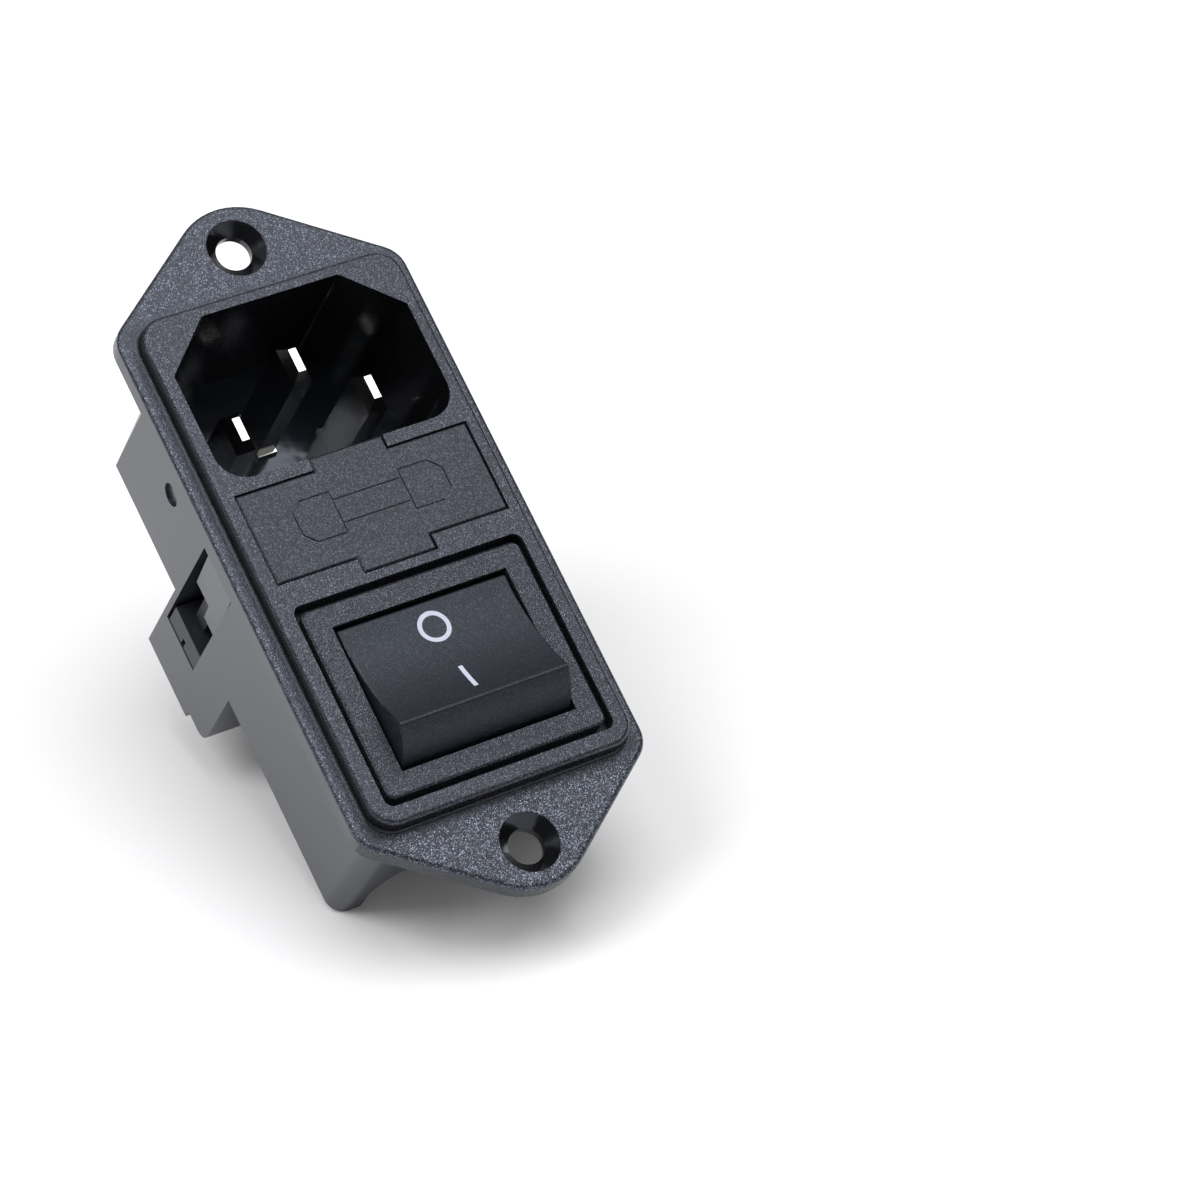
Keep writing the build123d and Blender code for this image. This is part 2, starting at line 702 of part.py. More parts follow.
# Switch base: floor with slots for the terminals, a wall between the poles and two stops
with BuildPart() as switch_base:
    with BuildSketch(Plane.XY.offset(base_bottom_z)):
        with Locations((0, switch_y)):
            Rectangle(2 * base_half_width, 2 * base_half_length)
        for x in (-pole_x, pole_x):
            with Locations((x, switch_y), (x, switch_y + load_tab_y)):
                Rectangle(
                    terminal_width + 2 * terminal_clearance,
                    tab_thickness + 2 * terminal_clearance,
                    mode=Mode.SUBTRACT,
                )
    extrude(amount=base_thickness)
    divider_top_z = pivot_z - boss_reach - divider_top_gap
    with BuildSketch(Plane.XY.offset(base_top_z)):
        with Locations((0, switch_y)):
            Rectangle(divider_thickness, 2 * base_half_length)
    extrude(amount=divider_top_z - base_top_z)
    with BuildSketch(Plane.XY.offset(base_top_z)):
        with Locations((-pole_x, switch_y - bridge_half_length + stop_length / 2),
                       (pole_x, switch_y - bridge_half_length + stop_length / 2)):
            Rectangle(bridge_width, stop_length)
    extrude(amount=stop_z - base_top_z)
switch_base.part.label = "switch_base"
export_step(switch_base.part, "parts/switch_base.step")

# Rocker, drawn level and then turned back by half of its throw
rocker_plane = side_plane(0, switch_y, pivot_z)
end_bottom_y = sqrt(rocker_end_r ** 2 - rocker_bottom_z ** 2)
inner_end_r = rocker_end_r - rocker_wall
inner_end_y = sqrt(inner_end_r ** 2 - rocker_bottom_z ** 2)
inner_top_z = rocker_dip_z - rocker_wall
inner_top_y = sqrt(inner_end_r ** 2 - inner_top_z ** 2)
with BuildPart() as rocker:
    with BuildSketch(rocker_plane) as rocker_side:
        with BuildLine():
            ThreePointArc(
                (-rocker_ridge_y, rocker_ridge_z), (0, rocker_dip_z), (rocker_ridge_y, rocker_ridge_z))
            ThreePointArc(
                (rocker_ridge_y, rocker_ridge_z), (rocker_end_r, 0), (end_bottom_y, rocker_bottom_z))
            Line((end_bottom_y, rocker_bottom_z), (-end_bottom_y, rocker_bottom_z))
            ThreePointArc(
                (-end_bottom_y, rocker_bottom_z), (-rocker_end_r, 0), (-rocker_ridge_y, rocker_ridge_z))
        make_face()
        fillet(rocker_side.vertices().group_by(Axis.Y)[-1], rocker_ridge_r)
    extrude(amount=rocker_half_width, both=True)
    sides = rocker.faces().sort_by(Axis.X)
    fillet(sides[0].edges() + sides[-1].edges(), rocker_edge_r)
    with BuildSketch(rocker_plane):
        with BuildLine():
            Line((-inner_top_y, inner_top_z), (inner_top_y, inner_top_z))
            ThreePointArc((inner_top_y, inner_top_z), (inner_end_r, 0), (inner_end_y, rocker_bottom_z))
            Line((inner_end_y, rocker_bottom_z), (-inner_end_y, rocker_bottom_z))
            ThreePointArc((-inner_end_y, rocker_bottom_z), (-inner_end_r, 0), (-inner_top_y, inner_top_z))
        make_face()
    extrude(amount=rocker_half_width - rocker_wall, both=True, mode=Mode.SUBTRACT)
    for side in (-1, 1):
        with BuildSketch(rocker_plane.offset(side * rocker_half_width)):
            Circle(trunnion_r)
        extrude(amount=side * trunnion_length)
rocker_down = Plane(
    origin=(0, switch_y, pivot_z), x_dir=(1, 0, 0),
    z_dir=(0, -sin(radians(half_throw)), -cos(radians(half_throw))))
with BuildPart() as rocker_with_bosses:
    add(rocker.part.rotate(Axis((0, switch_y, pivot_z), (1, 0, 0)), -half_throw))
    with BuildSketch(rocker_down.offset(-inner_top_z)):
        with Locations((-pole_x, 0), (pole_x, 0)):
            Circle(boss_r)
            Circle(plunger_r + plunger_clearance, mode=Mode.SUBTRACT)
    extrude(amount=inner_top_z + boss_reach)
rocker_with_bosses.part.label = "rocker"
export_step(rocker_with_bosses.part, "parts/rocker.step")

# Each pole: plunger, spring, bridge with its contact, and two terminals
tip_centre = plunger_reach - plunger_r
ball_y = tip_centre * sin(radians(half_throw))
ball_z = bridge_drop - tip_centre * cos(radians(half_throw))
seen_y = ball_y * cos(radians(half_tilt)) - ball_z * sin(radians(half_tilt))
seen_z = ball_y * sin(radians(half_tilt)) + ball_z * cos(radians(half_tilt))
rise = seen_z - (bridge_drop - tip_centre)
path_r = (seen_y ** 2 + rise ** 2) / (2 * rise)
cradle_r = path_r + plunger_r + plunger_play
cradle_centre = bridge_drop - tip_centre + path_r
horn_z = cradle_centre - sqrt(cradle_r ** 2 - (bridge_horn_y - bridge_horn_flat) ** 2)
plunger_top = plunger_reach - plunger_head
spring_length = plunger_top + inner_top_z - 2 * spring_end_gap
spring_r = plunger_r - spring_wire_r
for side, pole in ((-1, "left"), (1, "right")):
    x = side * pole_x
    with BuildPart() as plunger:
        with BuildSketch(rocker_down.offset(plunger_top)):
            with Locations((x, 0)):
                Circle(plunger_r)
        extrude(amount=plunger_head)
        fillet(plunger.faces().sort_by(Axis.Z)[0].edges(), plunger_r - plunger_tip_flat)
    plunger.part.label = f"plunger_{pole}"
    export_step(plunger.part, f"parts/plunger_{pole}.step")

    with BuildPart() as spring:
        with BuildLine() as coil:
            Helix(
                spring_length / spring_turns,
                spring_length,
                spring_r - spring_wire_r,
                center=rocker_down.from_local_coords((x, 0, spring_end_gap - inner_top_z)),
                direction=rocker_down.z_dir,
            )
        with BuildSketch(Plane(origin=coil.line @ 0, z_dir=coil.line % 0)):
            Circle(spring_wire_r)
        sweep(is_frenet=True)
    spring.part.label = f"spring_{pole}"
    export_step(spring.part, f"parts/spring_{pole}.step")

    bridge_plane = side_plane(x, switch_y, edge_z, half_tilt)
    with BuildPart() as bridge:
        with BuildSketch(bridge_plane):
            with BuildLine():
                Polyline(
                    (bridge_horn_y - bridge_horn_flat, horn_z),
                    (bridge_horn_y, horn_z),
                    (bridge_horn_y + bridge_horn_flat, bridge_arm),
                    (bridge_half_length, bridge_arm),
                    (bridge_half_length, 0),
                    (-bridge_half_length, 0),
                    (-bridge_half_length, bridge_arm),
                    (-bridge_horn_y - bridge_horn_flat, bridge_arm),
                    (-bridge_horn_y, horn_z),
                    (-bridge_horn_y + bridge_horn_flat, horn_z),
                )
                ThreePointArc(
                    (-bridge_horn_y + bridge_horn_flat, horn_z),
                    (0, cradle_centre - cradle_r),
                    (bridge_horn_y - bridge_horn_flat, horn_z),
                )
            make_face()
            Circle(tab_thickness / 2 + bridge_seat_play, mode=Mode.SUBTRACT)
        extrude(amount=bridge_width / 2, both=True)
    bridge.part.label = f"contact_bridge_{pole}"
    export_step(bridge.part, f"parts/contact_bridge_{pole}.step")

    with BuildPart() as moving_contact:
        with BuildSketch(bridge_plane):
            with BuildLine():
                Polyline(
                    (contact_y, -contact_height - contact_dome),
                    (contact_y, 0),
                    (contact_y + contact_r, 0),
                    (contact_y + contact_r, -contact_height),
                )
                RadiusArc(
                    (contact_y + contact_r, -contact_height),
                    (contact_y, -contact_height - contact_dome),
                    dome_r,
                )
            make_face()
        button_axis = Axis(bridge_plane.from_local_coords((contact_y, 0, 0)), bridge_plane.y_dir)
        revolve(axis=button_axis)
    moving_contact.part.label = f"moving_contact_{pole}"
    export_step(moving_contact.part, f"parts/moving_contact_{pole}.step")

    with BuildPart() as fixed_contact:
        with BuildSketch(Plane.XY.offset(fixed_contact_z - fixed_contact_height)):
            with Locations((x, fixed_contact_y)):
                Circle(fixed_contact_r)
        extrude(amount=fixed_contact_height)
    fixed_contact.part.label = f"fixed_contact_{pole}"
    export_step(fixed_contact.part, f"parts/fixed_contact_{pole}.step")

    # common terminal: the bridge rocks on its round top edge
    with BuildPart() as common_terminal:
        with BuildSketch(Plane.XY.offset(base_bottom_z)):
            with Locations((x, switch_y)):
                Rectangle(terminal_width, tab_thickness)
        extrude(amount=base_thickness)
        with BuildSketch(side_plane(x, switch_y, edge_z)):
            Circle(tab_thickness / 2)
            span(-tab_thickness / 2, tab_thickness / 2, base_top_z - edge_z, 0)
        extrude(amount=common_top_width / 2, both=True)
        add(flat_tab(Plane(origin=(x, switch_y, base_bottom_z), x_dir=(1, 0, 0), z_dir=(0, -1, 0)),
                     base_bottom_z - terminal_tip_z))
    common_terminal.part.label = f"common_terminal_{pole}"
    export_step(common_terminal.part, f"parts/common_terminal_{pole}.step")

    # load terminal: its foot carries the fixed contact
    with BuildPart() as load_terminal:
        with BuildSketch(Plane.XY.offset(base_top_z)):
            with Locations((x, 0)):
                span(-terminal_width / 2, terminal_width / 2,
                     fixed_contact_y - fixed_contact_r, switch_y + load_tab_y + tab_thickness / 2)
        extrude(amount=tab_thickness)
        with BuildSketch(Plane.XY.offset(base_bottom_z)):
            with Locations((x, switch_y + load_tab_y)):
                Rectangle(terminal_width, tab_thickness)
        extrude(amount=base_thickness)
        add(flat_tab(
            Plane(origin=(x, switch_y + load_tab_y, base_bottom_z), x_dir=(1, 0, 0), z_dir=(0, -1, 0)),
            base_bottom_z - terminal_tip_z))
    load_terminal.part.label = f"load_terminal_{pole}"
    export_step(load_terminal.part, f"parts/load_terminal_{pole}.step")
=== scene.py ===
import bpy
from math import atan2, pi, radians
from mathutils import Matrix, Vector


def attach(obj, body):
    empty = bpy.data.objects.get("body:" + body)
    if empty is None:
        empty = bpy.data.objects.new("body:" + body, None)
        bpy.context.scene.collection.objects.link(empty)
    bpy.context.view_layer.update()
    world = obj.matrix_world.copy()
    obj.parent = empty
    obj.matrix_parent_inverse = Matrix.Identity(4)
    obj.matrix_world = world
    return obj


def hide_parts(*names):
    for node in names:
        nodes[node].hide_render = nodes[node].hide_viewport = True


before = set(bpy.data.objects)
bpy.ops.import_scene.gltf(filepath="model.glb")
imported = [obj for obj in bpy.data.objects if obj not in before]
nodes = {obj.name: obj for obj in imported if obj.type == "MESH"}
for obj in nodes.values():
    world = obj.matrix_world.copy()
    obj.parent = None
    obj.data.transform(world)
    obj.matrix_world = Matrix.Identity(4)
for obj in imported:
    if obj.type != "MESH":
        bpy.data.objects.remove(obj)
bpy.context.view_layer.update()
mm = 0.001

# The view: a long lens a little above the inlet and to its left, aimed past the drawer.
# The camera's own axes are written in the object's frame, because the object leans on the table.
camera_place = Vector((-185.9, -135.0, 404.2)) * mm
camera_right = Vector((0.85, -0.4353, 0.2968))
camera_up = Vector((0.297, 0.8612, 0.4125))
focal_length = 151.2
sensor_width = 36.0
near_clip, far_clip = 0.01, 20.0
camera_data = bpy.data.cameras.new("view_camera")
camera_data.lens = focal_length
camera_data.sensor_width = sensor_width
camera_data.clip_start = near_clip
camera_data.clip_end = far_clip
camera = bpy.data.objects.new("view_camera", camera_data)
bpy.context.collection.objects.link(camera)
camera_right.normalize()
camera_back = camera_right.cross(camera_up).normalized()
camera_up = camera_back.cross(camera_right)
camera.matrix_world = Matrix.Translation(camera_place) @ Matrix(
    (camera_right, camera_up, camera_back)).transposed().to_4x4()
bpy.context.scene.camera = camera
bpy.context.scene.view_settings.view_transform = "Standard"


# The table and the light: a white table under soft light from above, as in a product studio.
# The object leans on the rim of its skirt and on the tips of its fuse tabs, so the table is
# tilted in the object's frame. It turns clear far out, and when it is seen from below.
class Field:
    def __init__(self, finish, socket):
        self.finish = finish
        self.socket = socket

    def maths(self, operation, other=None, swapped=False, clamp=False):
        pair = (other, self) if swapped else (self, other)
        values = {place: value for place, value in enumerate(pair) if value is not None}
        return self.finish.node("Math", {"operation": operation, "use_clamp": clamp}, values)

    def __add__(self, other):
        return self.maths("ADD", other)

    def __sub__(self, other):
        return self.maths("SUBTRACT", other)

    def __mul__(self, other):
        return self.maths("MULTIPLY", other)

    def __truediv__(self, other):
        return self.maths("DIVIDE", other)

    def __pow__(self, other):
        return self.maths("POWER", other)

    def __radd__(self, other):
        return self.maths("ADD", other, swapped=True)

    def __rsub__(self, other):
        return self.maths("SUBTRACT", other, swapped=True)

    def __rmul__(self, other):
        return self.maths("MULTIPLY", other, swapped=True)

    def __gt__(self, other):
        return self.maths("GREATER_THAN", other)

    def __lt__(self, other):
        return self.maths("LESS_THAN", other)

    def size(self):
        return self.maths("ABSOLUTE")

    def most(self, other):
        return self.maths("MAXIMUM", other)

    def clipped(self):
        return self.maths("ADD", 0.0, clamp=True)


class Finish:
    def __init__(self, name):
        self.material = bpy.data.materials.new(name)
        self.material.use_nodes = True
        self.tree = self.material.node_tree
        self.shader = self.tree.nodes["Principled BSDF"]
        self.output = self.tree.nodes["Material Output"]

    @classmethod
    def of_world(cls, world):
        finish = cls.__new__(cls)
        finish.tree = world.node_tree
        return finish

    def node(self, kind, settings=None, values=None, out=0):
        made = self.tree.nodes.new("ShaderNode" + kind)
        for name, setting in (settings or {}).items():
            setattr(made, name, setting)
        for name, value in (values or {}).items():
            self.feed(made.inputs[name], value)
        return Field(self, made.outputs[out])

    def feed(self, socket, value):
        if isinstance(value, Field):
            self.tree.links.new(value.socket, socket)
        else:
            socket.default_value = value

    def set(self, **values):
        for name, value in values.items():
            self.feed(self.shader.inputs[name.replace("_", " ")], value)
        return self

    def place(self):
        return self.node("TexCoord", out="Object")

    def axes(self):
        split = self.node("SeparateXYZ", values={"Vector": self.place()}).socket.node
        return [Field(self, split.outputs[name]) for name in ("X", "Y", "Z")]

    # A colour Mix node has its two colours in sockets 6 and 7 and its result in socket 2.
    def blend(self, mask, low, high):
        return self.node("Mix", {"data_type": "RGBA"}, {"Factor": mask, 6: low, 7: high}, out=2)

    def noise(self, scale, detail=2.0, roughness=0.5, place=None):
        return self.node("TexNoise", values={
            "Vector": place or self.place(), "Scale": scale, "Detail": detail, "Roughness": roughness})

    def bump(self, height, distance):
        normal = self.node("Bump", values={"Height": height, "Distance": distance, "Strength": 1.0})
        return self.set(Normal=normal)


def facing(place, way):
    return Matrix.Translation(place) @ way.to_track_quat("Z", "Y").to_matrix().to_4x4()


table_normal = Vector((0.0, 0.5635, 0.8261)).normalized()
skirt_rim = Vector((0.0, -27.5, -15.0)) * mm
table_width = 1.2
table_white = (0.86, 0.86, 0.87, 1.0)
table_reach, table_fade = 0.22, 0.20
bpy.ops.object.select_all(action="DESELECT")
bpy.ops.mesh.primitive_plane_add(size=table_width, location=(0, 0, 0))
table = bpy.context.object
table.name = "table"
table.matrix_world = facing(skirt_rim, table_normal)
table_finish = Finish("table_white")
behind = table_finish.node("NewGeometry", out="Backfacing")
reach = table_finish.node(
    "VectorMath", {"operation": "LENGTH"}, {0: table_finish.place()}, out="Value")
open_share = behind.most(((reach - table_reach) / table_fade).clipped())
matt = table_finish.node("BsdfDiffuse", values={"Color": table_white}, out="BSDF")
clear = table_finish.node("BsdfTransparent", out="BSDF")
table_surface = table_finish.node(
    "MixShader", values={"Fac": open_share, 1: matt, 2: clear}, out="Shader")
table_finish.feed(table_finish.output.inputs["Surface"], table_surface)
table.data.materials.append(table_finish.material)

# The room is bright overhead and dim lower down, but only mirrors show that. Matt faces get one
# even light, and the camera sees white.
world = bpy.context.scene.world or bpy.data.worlds.new("studio")
bpy.context.scene.world = world
world.use_nodes = True
surround = Finish.of_world(world)
room_light, ceiling_light, spread_light = 0.08, 0.70, 0.52
ceiling_start, ceiling_slope = 0.45, 3.0
way = surround.node("TexCoord", out="Generated")
height = surround.node(
    "VectorMath", {"operation": "DOT_PRODUCT"}, {0: way, 1: table_normal}, out="Value")
ceiling = ((height - ceiling_start) * ceiling_slope).clipped()
seen = surround.node("LightPath", out="Is Camera Ray")
mirrored = surround.node("LightPath", out="Is Glossy Ray")
mirror_light = ceiling * (ceiling_light - room_light) + room_light
light = (mirror_light * mirrored + spread_light * (1.0 - mirrored)).most(seen)
background = world.node_tree.nodes["Background"]
background.inputs["Color"].default_value = (1.0, 1.0, 1.0, 1.0)
surround.feed(background.inputs["Strength"], light)


# A disc lamp's power is its brightness times pi times its area.
def soft_lamp(name, toward, distance, width, brightness):
    lamp = bpy.data.lights.new(name, "AREA")
    lamp.shape = "DISK"
    lamp.size = width
    lamp.energy = brightness * pi * pi * width ** 2 / 4
    holder = bpy.data.objects.new(name, lamp)
    bpy.context.collection.objects.link(holder)
    aim = Vector(toward).normalized()
    holder.matrix_world = facing(aim * distance, aim)


soft_lamp("top_box", (0.13, 0.41, 0.87), distance=0.9, width=0.84, brightness=3.15)
soft_lamp("left_box", (-0.60, 0.48, 0.62), distance=0.9, width=0.52, brightness=5.6)


# Housing: one black moulding. Its front has the grain of a spark-eroded tool, in which small
# facets glint. On the lower ear the base is painted darker and the glints brighter, a painted
# highlight where the lamps catch it more. The side walls are smooth and satin, and the
# cavity and the screw sinks are polished.
cool_sheen = (0.80, 0.86, 1.0, 1.0)
glint_sharpness, glint_metal = 1.3, 0.8
patch_scale, patch_depth, glint_polish = 180.0, 0.08, 0.1
bumps_per_facet = 0.7


def black_plastic(name, colour, glint, grain_size, roughness, glint_share=0.40):
    finish = Finish(name)
    cells = finish.node("TexVoronoi", {"feature": "F1"}, {
        "Vector": finish.place(), "Scale": 1.0 / grain_size}, out="Color")
    chance = finish.node("SeparateColor", values={"Color": cells})
    sparkle = ((chance - (1.0 - glint_share)) / glint_share).clipped() ** glint_sharpness
    patches = finish.noise(patch_scale, 3.0)
    finish.grain = finish.noise(bumps_per_facet / grain_size, 2.0, 0.6)
    finish.sparkle = sparkle
    finish.tone = finish.blend(sparkle, colour, glint)
    finish.rough = roughness + (patches - 0.5) * patch_depth - sparkle * glint_polish
    return finish.set(
        Base_Color=finish.tone, Roughness=finish.rough, Metallic=sparkle * glint_metal,
        Specular_Tint=cool_sheen)


def paint(finish, *names):
    for name in names:
        nodes[name].data.materials.clear()
        nodes[name].data.materials.append(finish.material)


housing_grain, housing_roughness, housing_bump = 0.095 * mm, 0.27, 0.055 * mm
front_black = (0.0085, 0.0092, 0.0115, 1.0)
front_glint = (0.115, 0.123, 0.158, 1.0)
flange_black = (0.0145, 0.016, 0.021, 1.0)
flange_glint = (0.160, 0.175, 0.228, 1.0)
# Painted light: a darker base and brighter glints for the lower ear.
low_ear_painted_shade = (0.0085, 0.0095, 0.0125, 1.0)
low_ear_painted_glint = (0.235, 0.253, 0.320, 1.0)
side_black = (0.018, 0.0205, 0.027, 1.0)
side_flow = (0.026, 0.029, 0.037, 1.0)
cavity_black = (0.004, 0.004, 0.0045, 1.0)
# The cavity floor's black is lighter and bluish: a painted reflection.
floor_reflection_black = (0.008, 0.010, 0.015, 1.0)
side_roughness, side_coat, side_coat_roughness = 0.30, 0.36, 0.18
flow_roughness, side_smoothness = 0.08, 0.97
polished_roughness = 0.13
flange_back_z, flange_front_z, front_z = 0.0, 2.0 * mm, 4.0 * mm
housing_finish = black_plastic(
    "housing_plastic", front_black, front_glint, housing_grain, housing_roughness)
x, y, z = housing_finish.axes()

# The connector cavity, whose outer corners slope, and its floor with slight waves
cavity_y, cavity_half_width, cavity_half_height = 17.2 * mm, 12.35 * mm, 8.3 * mm
cavity_top_x, cavity_slope_y, slope_reach = 7.2 * mm, 20.6 * mm, 1.1
cavity_rim, cavity_floor_z, floor_margin = 0.12 * mm, -13.0 * mm, 0.1 * mm
floor_wave_scale, floor_wave_height = 420.0, 1.1
slope = (x.size() - cavity_top_x) / (cavity_half_width - cavity_top_x) \
    + (y - cavity_slope_y) / (cavity_y + cavity_half_height - cavity_slope_y)
in_cavity = (x.size() < cavity_half_width) * ((y - cavity_y).size() < cavity_half_height) \
    * (slope < slope_reach) * (z < front_z - cavity_rim)
on_floor = in_cavity * (z < cavity_floor_z + floor_margin)

# The sinks for the two screws
screw_y, sink_r, sink_rim = 31.75 * mm, 3.02 * mm, 0.07 * mm
screw_reach = ((x * x) + ((y.size() - screw_y) * (y.size() - screw_y))) ** 0.5
in_sink = (screw_reach < sink_r) * (z > flange_back_z) * (z < flange_front_z - sink_rim)
polished = in_cavity.most(in_sink)

# The outer walls: the flange's long edges and all that is behind the flange
edge_round, flange_side_x, behind_flange = 0.42 * mm, 14.95 * mm, 0.05 * mm
on_side = (z < flange_front_z - edge_round) * (x.size() > flange_side_x)
satin = (z < flange_back_z - behind_flange).most(on_side) * (1.0 - in_cavity)
flow = housing_finish.noise(60.0, 4.0, 0.6)

# The flange, whose glints fade towards the foot of the bezel as painted shade, its ears' edges,
# painted darker and without glints as painted shade, and the bezel's wall, painted in the
# cavity's black as painted shade
flange_skin, bezel_rim, sink_margin = 0.02 * mm, 0.35 * mm, 3.2 * mm
bezel_side_x, bezel_end_y, foot_width, foot_shade_glints = 13.6 * mm, 26.6 * mm, 1.2 * mm, 0.1
low_ear_y, low_ear_fade = -20.0 * mm, 7.0 * mm
on_flange = z < flange_front_z + flange_skin
# Painted shade: the bezel's wall takes the cavity's deeper black and no glints.
shaded_bezel_wall = (1.0 - on_flange) * (z < front_z - bezel_rim)
# Painted shade: the ears' edges take the darker front black and no glints.
shaded_rim = (z < flange_front_z - edge_round) * (screw_reach > sink_margin) * (1.0 - in_cavity)
# Painted shade: fewer glints in a band beside the bezel's foot, where the wall shades the flange.
beside_bezel = (x.size() - bezel_side_x) / foot_width
past_bezel = (y.size() - bezel_end_y) / foot_width
unshaded_flange = beside_bezel.most(past_bezel).clipped()
unshaded_grain = unshaded_flange.most(1.0 - on_flange) * (1.0 - foot_shade_glints) + foot_shade_glints
# Painted light: the share of the lower ear that takes the painted darker base and brighter glints.
painted_low_ear = ((low_ear_y - y) / low_ear_fade).clipped()

flange_tone = housing_finish.blend(
    housing_finish.sparkle * unshaded_grain,
    housing_finish.blend(painted_low_ear, flange_black, low_ear_painted_shade),
    housing_finish.blend(painted_low_ear, flange_glint, low_ear_painted_glint))
# Painted shade on the ears' edges.
flange_tone = housing_finish.blend(shaded_rim, flange_tone, front_black)
tone = housing_finish.blend(on_flange, housing_finish.tone, flange_tone)
# Painted shade on the bezel's wall.
tone = housing_finish.blend(shaded_bezel_wall, tone, cavity_black)
tone = housing_finish.blend(satin, tone, housing_finish.blend(flow, side_black, side_flow))
tone = housing_finish.blend(polished, tone, cavity_black)
# Painted reflection on the cavity floor.
tone = housing_finish.blend(on_floor, tone, floor_reflection_black)
rough = housing_finish.rough * (1.0 - satin) + (side_roughness + flow * flow_roughness) * satin
rough = rough * (1.0 - polished) + polished_roughness * polished
floor_waves = housing_finish.noise(floor_wave_scale, 1.5) * on_floor * floor_wave_height
depth = housing_finish.grain * (1.0 - polished) * (1.0 - satin * side_smoothness) + floor_waves
plain = satin.most(polished).most(shaded_bezel_wall).most(shaded_rim)
glints = housing_finish.sparkle * unshaded_grain * glint_metal * (1.0 - plain)
housing_finish.set(
    Base_Color=tone, Roughness=rough, Metallic=glints, Specular_IOR_Level=0.5,
    Coat_Weight=satin * side_coat, Coat_Roughness=side_coat_roughness)
housing_finish.bump(depth, housing_bump)
paint(housing_finish, "housing")

# Contact pins: solid brass blades, bevelled at the tip and plated with bright nickel. The
# plating shows the faint lines along which the blade was drawn.
nickel = (0.66, 0.645, 0.62, 1.0)
nickel_dull = (0.46, 0.44, 0.41, 1.0)
stain_scale, stain_contrast, stain_roughness = 220.0, 2.5, 0.05
line_roughness = 0.8


# The lines are noise with its own fineness along each axis: the fewer per metre, the longer they run.
def metal(name, colour, dull, roughness, lines_per_metre, line_depth, wear=0.35):
    finish = Finish(name)
    stretched = finish.node(
        "VectorMath", {"operation": "MULTIPLY"}, {0: finish.place(), 1: lines_per_metre})
    lines = finish.noise(1.0, 3.0, 0.6, stretched)
    stain = ((finish.noise(stain_scale, 4.0, 0.6) - 0.5) * stain_contrast + wear).clipped()
    finish.set(
        Base_Color=finish.blend(stain, colour, dull), Metallic=1.0,
        Roughness=roughness + (lines - 0.5) * roughness * line_roughness + stain * stain_roughness)
    return finish.bump(lines, line_depth)


pin_finish = metal(
    "pin_nickel", nickel, nickel_dull, 0.14, (9000.0, 9000.0, 500.0), 0.002 * mm, wear=0.1)
paint(pin_finish, "pin_line", "pin_neutral", "pin_earth")

# Rear tabs, clips and link: strips of brass, rolled, punched and tinned. The bridges of the
# switch are pressed from the same strip.
tin = (0.72, 0.70, 0.65, 1.0)
tin_dull = (0.52, 0.49, 0.43, 1.0)
strip_finish = metal("terminal_brass", tin, tin_dull, 0.30, (7000.0, 7000.0, 350.0), 0.003 * mm)
bridge_finish = metal("bridge_brass", tin, tin_dull, 0.28, (7000.0, 300.0, 7000.0), 0.003 * mm)
paint(strip_finish, "line_link", "fuse_clip_left", "fuse_clip_right")
for pole in ("left", "right"):
    paint(strip_finish, f"common_terminal_{pole}", f"load_terminal_{pole}")
    paint(bridge_finish, f"contact_bridge_{pole}")

# Contacts: small buttons of silver alloy, two on the bridges and two on the load terminals.
# They are riveted or welded on, and slightly matt from pressing.
silver = (0.84, 0.83, 0.80, 1.0)
silver_tarnish = (0.55, 0.50, 0.42, 1.0)
silver_finish = metal(
    "contact_silver", silver, silver_tarnish, 0.26, (4000.0, 4000.0, 4000.0), 0.002 * mm, wear=0.2)
for pole in ("left", "right"):
    paint(silver_finish, f"moving_contact_{pole}", f"fixed_contact_{pole}")

# Springs and plungers: each pole has a coil of hard steel wire that presses a turned brass
# plunger, with a round tip, on the bridge below it.
steel = (0.58, 0.58, 0.59, 1.0)
steel_dark = (0.34, 0.33, 0.33, 1.0)
brass = (0.76, 0.58, 0.28, 1.0)
brass_dull = (0.50, 0.36, 0.16, 1.0)
wire_finish = metal("spring_steel", steel, steel_dark, 0.30, (3000.0, 3000.0, 3000.0), 0.002 * mm)
plunger_finish = metal(
    "plunger_brass", brass, brass_dull, 0.22, (500.0, 500.0, 14000.0), 0.003 * mm, wear=0.15)
for pole in ("left", "right"):
    paint(wire_finish, f"spring_{pole}")
    paint(plunger_finish, f"plunger_{pole}")

# Fuse: a glass tube with a thin wire inside, between two pressed caps of nickelled brass, which
# show the fine rings of their drawing.
cap_finish = metal(
    "fuse_cap_nickel", nickel, nickel_dull, 0.18, (9000.0, 400.0, 400.0), 0.002 * mm, wear=0.2)
paint(cap_finish, "fuse_cap_left", "fuse_cap_right")
glass_clear = (0.97, 0.99, 0.985, 1.0)
glass_finish = Finish("fuse_glass")
glass_haze = glass_finish.noise(300.0, 3.0)
glass_finish.set(
    Base_Color=glass_clear, Transmission_Weight=1.0, IOR=1.5, Roughness=0.01 + glass_haze * 0.03)
paint(glass_finish, "fuse_glass")
paint(wire_finish, "fuse_wire")

# Terminal carrier and switch base: the mouldings that close the fuse shaft and the switch from
# behind and hold their clips and terminals. Both are hidden, so their faces are plain and satin.
insert_black = (0.014, 0.015, 0.017, 1.0)
insert_glint = (0.060, 0.062, 0.068, 1.0)
insert_finish = black_plastic(
    "insert_plastic", insert_black, insert_glint, 0.2 * mm, 0.45, glint_share=0.08)
insert_finish.bump(insert_finish.grain, 0.006 * mm)
paint(insert_finish, "terminal_carrier", "switch_base")

